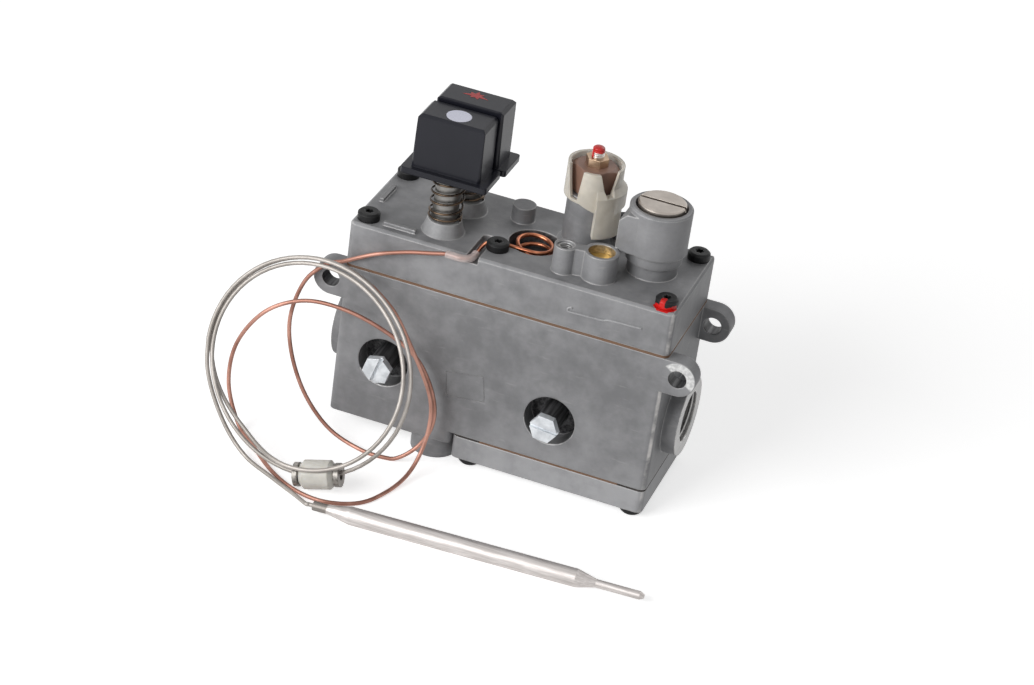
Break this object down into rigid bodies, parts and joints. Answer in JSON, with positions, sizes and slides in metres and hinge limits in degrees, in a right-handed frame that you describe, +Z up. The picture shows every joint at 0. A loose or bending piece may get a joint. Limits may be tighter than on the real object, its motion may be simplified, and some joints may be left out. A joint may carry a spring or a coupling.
{
  "type": "thermostatic gas control valve",
  "caption": "Cast gas control valve with off and ignition push buttons, a thermostat setting spindle, a pressure regulator and a capillary line that ends in a sensing bulb.",
  "frame": {"origin": "middle of the valve's footprint, on the surface it stands on; the capillary and bulb are left out", "axes": "+X along the gas line from inlet to outlet, +Y to the back, +Z up through the buttons"},
  "size_m": [0.1761, 0.1055, 0.1303],
  "materials": {
    "cast_body": "cast",
    "cast_cover": "cast",
    "gasket": "matte",
    "black_steel": "satin",
    "zinc_steel": "bright",
    "black_plastic": "satin",
    "dark_steel": "satin",
    "spring_bronze": "satin",
    "rubber": "matte",
    "steel": "satin",
    "brass": "satin",
    "nylon": "satin",
    "brown_plastic": "satin",
    "copper": "satin",
    "yellow_steel": "satin",
    "cap_nickel": "satin",
    "white_plastic": "satin",
    "plated_copper": "satin",
    "bulb_nickel": "satin",
    "clear_sleeve": "gloss"
  },
  "bodies": {
    "housing": {"body": "cast_body", "top_cover": "cast_cover", "cover_gasket": "gasket", "bottom_cover": "cast_body", "bottom_gasket": "gasket", "cover_screws": "black_steel", "bottom_screws": "black_steel", "test_point_screws": "zinc_steel", "off_spring": "spring_bronze", "ignition_spring": "spring_bronze", "stem_seals": "rubber", "safety_spring": "steel", "magnet_unit": "brass", "thermostat_capsule": "steel", "capillary_ferrule": "brass", "main_valve_spring": "steel", "regulator_cap": "cap_nickel", "regulator_adjuster": "white_plastic", "regulator_spring": "steel", "regulator_diaphragm": "rubber", "threaded_insert": "zinc_steel", "deck_capillary": "copper", "capillary_sleeve": "clear_sleeve", "copper_capillary": "copper", "plated_capillary": "plated_copper", "gland_bush": "nylon", "gland_rings": "steel", "sensing_bulb": "bulb_nickel"},
    "off_control": {"off_button": "black_plastic", "off_stem": "dark_steel", "shut_off_disc": "rubber"},
    "ignition_control": {"ignition_button": "black_plastic", "ignition_stem": "dark_steel"},
    "flame_safety": {"safety_valve": "steel", "safety_seal": "rubber"},
    "setting_spindle": {"setting_ring": "nylon", "setting_insert": "brown_plastic", "calibration_stud": "steel", "calibration_nut": "yellow_steel"},
    "thermostat_valve": {"main_valve": "steel"},
    "pressure_valve": {"regulator_valve": "steel"},
    "pilot_screw": {"pilot_adjuster": "brass"}
  },
  "joints": [
    {"name": "off_press", "type": "slide", "parent": "housing", "child": "off_control", "axis": [0, 0, -1], "range_m": [0, 0.004], "stiffness_N_per_m": 900, "springref_m": -0.004, "deforming": ["off_spring"]},
    {"name": "ignition_press", "type": "slide", "parent": "housing", "child": "ignition_control", "axis": [0, 0, -1], "range_m": [0, 0.005], "stiffness_N_per_m": 900, "springref_m": -0.004, "deforming": ["ignition_spring"]},
    {"name": "safety_open", "type": "slide", "parent": "housing", "child": "flame_safety", "axis": [0, 0, -1], "range_m": [0, 0.005], "deforming": ["safety_spring"]},
    {"name": "setting_turn", "type": "hinge", "parent": "housing", "child": "setting_spindle", "pos_m": [0.016, 0.0119, 0.1], "axis": [0, 0, 1], "range_deg": [-225, 0]},
    {"name": "main_valve_open", "type": "slide", "parent": "housing", "child": "thermostat_valve", "axis": [0, 0, -1], "range_m": [0, 0.0037], "deforming": ["main_valve_spring"]},
    {"name": "regulator_float", "type": "slide", "parent": "housing", "child": "pressure_valve", "axis": [0, 0, 1], "range_m": [-0.001, 0.001], "stiffness_N_per_m": 3000, "deforming": ["regulator_spring"]},
    {"name": "pilot_turn", "type": "hinge", "parent": "housing", "child": "pilot_screw", "pos_m": [0.0284, -0.01, 0.09], "axis": [0, 0, 1], "range_deg": [-180, 180]}
  ],
  "couplings": [
    {"joint": "safety_open", "follows": "ignition_press", "ratio": 1},
    {"joint": "main_valve_open", "follows": "setting_turn", "m_per_rad": -0.00089}
  ]
}
